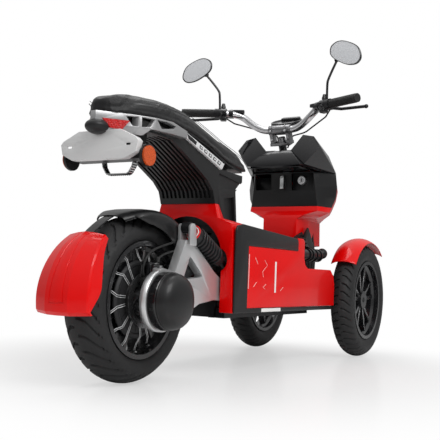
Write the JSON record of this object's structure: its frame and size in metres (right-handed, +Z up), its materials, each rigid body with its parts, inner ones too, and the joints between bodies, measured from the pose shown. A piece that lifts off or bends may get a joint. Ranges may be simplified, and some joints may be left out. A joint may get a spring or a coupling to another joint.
{
  "type": "three-wheeled electric motor scooter",
  "caption": "Electric motor scooter with two front wheels that steer under red fenders, a hub-side rear drive, red bodywork, black panels, silver castings and a hinged saddle.",
  "frame": {"origin": "on the ground, at the centre of the scooter's length and width, with the three tyres standing on Z = 0", "axes": "+X forward, +Y to the rider's left, +Z up"},
  "size_m": [1.8302, 0.7776, 1.2057],
  "materials": {
    "body_red": "gloss",
    "trim_black": "satin",
    "dash_grey": "satin",
    "silver_cast": "satin",
    "frame_black": "satin",
    "bar_alloy": "satin",
    "steel": "brushed",
    "wheel_black": "satin",
    "tyre_rubber": "matte",
    "grip_rubber": "matte",
    "seat_cover": "satin",
    "red_lens": "gloss",
    "amber_lens": "gloss",
    "clear_lens": "gloss",
    "mirror_face": "polished",
    "cable_black": "matte"
  },
  "bodies": {
    "chassis": {"bag_hook": "trim_black", "battery_box": "frame_black", "dash_cover": "dash_grey", "floor_deck": "trim_black", "front_apron": "body_red", "front_fascia": "body_red", "front_linkage": "frame_black", "front_shocks": "frame_black", "glove_tray": "trim_black", "headlight": "clear_lens", "key_lock": "steel", "knee_shield": "trim_black", "latch_bow": "steel", "linkage_covers": "grip_rubber", "main_frame": "frame_black", "motor_cap": "frame_black", "motor_housing": "silver_cast", "plate_bracket": "silver_cast", "plate_lamp": "trim_black", "rear_body": "body_red", "rear_caliper": "silver_cast", "rear_fender": "body_red", "rear_hugger": "trim_black", "rear_shock": "frame_black", "reflector_mounts": "trim_black", "seat_post_cover": "trim_black", "seat_post_front": "trim_black", "seat_strips": "silver_cast", "side_panels": "body_red", "side_reflectors": "amber_lens", "side_trims": "trim_black", "swing_arm": "silver_cast", "tail_frame": "silver_cast", "tail_light": "red_lens"},
    "saddle": {"seat_pan": "trim_black", "seat_cushion": "seat_cover"},
    "handlebar": {"steering_stem": "steel", "handlebar": "bar_alloy", "grips": "grip_rubber", "hand_controls": "frame_black", "display": "trim_black", "mirrors": "trim_black", "mirror_glass": "mirror_face", "cables": "cable_black"},
    "rear_wheel": {"rear_tyre": "tyre_rubber", "rear_rim": "wheel_black", "rear_disc": "steel"},
    "knuckle_left": {"knuckle_left": "frame_black", "front_fender_left": "body_red"},
    "knuckle_right": {"knuckle_right": "frame_black", "front_fender_right": "body_red"},
    "front_wheel_left": {"front_tyre_left": "tyre_rubber", "front_rim_left": "wheel_black"},
    "front_wheel_right": {"front_tyre_right": "tyre_rubber", "front_rim_right": "wheel_black"}
  },
  "joints": [
    {"name": "steering", "type": "hinge", "parent": "chassis", "child": "handlebar", "pos_m": [0.35675, 0, 0.909], "axis": [-0.4226, 0, 0.9063], "range_deg": [-30, 30]},
    {"name": "left_knuckle_turn", "type": "hinge", "parent": "chassis", "child": "knuckle_left", "pos_m": [0.68175, 0.188, 0.2335], "axis": [-0.2079, 0, 0.9781], "range_deg": [-30, 30]},
    {"name": "right_knuckle_turn", "type": "hinge", "parent": "chassis", "child": "knuckle_right", "pos_m": [0.68175, -0.188, 0.2335], "axis": [-0.2079, 0, 0.9781], "range_deg": [-30, 30]},
    {"name": "front_left_wheel_spin", "type": "hinge", "parent": "knuckle_left", "child": "front_wheel_left", "pos_m": [0.68175, 0.235, 0.2335], "axis": [0, 1, 0], "continuous": true},
    {"name": "front_right_wheel_spin", "type": "hinge", "parent": "knuckle_right", "child": "front_wheel_right", "pos_m": [0.68175, -0.235, 0.2335], "axis": [0, 1, 0], "continuous": true},
    {"name": "rear_wheel_spin", "type": "hinge", "parent": "chassis", "child": "rear_wheel", "pos_m": [-0.60825, 0, 0.236], "axis": [0, 1, 0], "continuous": true},
    {"name": "saddle_hinge", "type": "hinge", "parent": "chassis", "child": "saddle", "pos_m": [-0.12625, 0, 0.658], "axis": [0, 1, 0], "range_deg": [0, 60]}
  ],
  "couplings": [
    {"joint": "left_knuckle_turn", "follows": "steering", "ratio": 1},
    {"joint": "right_knuckle_turn", "follows": "steering", "ratio": 1}
  ]
}
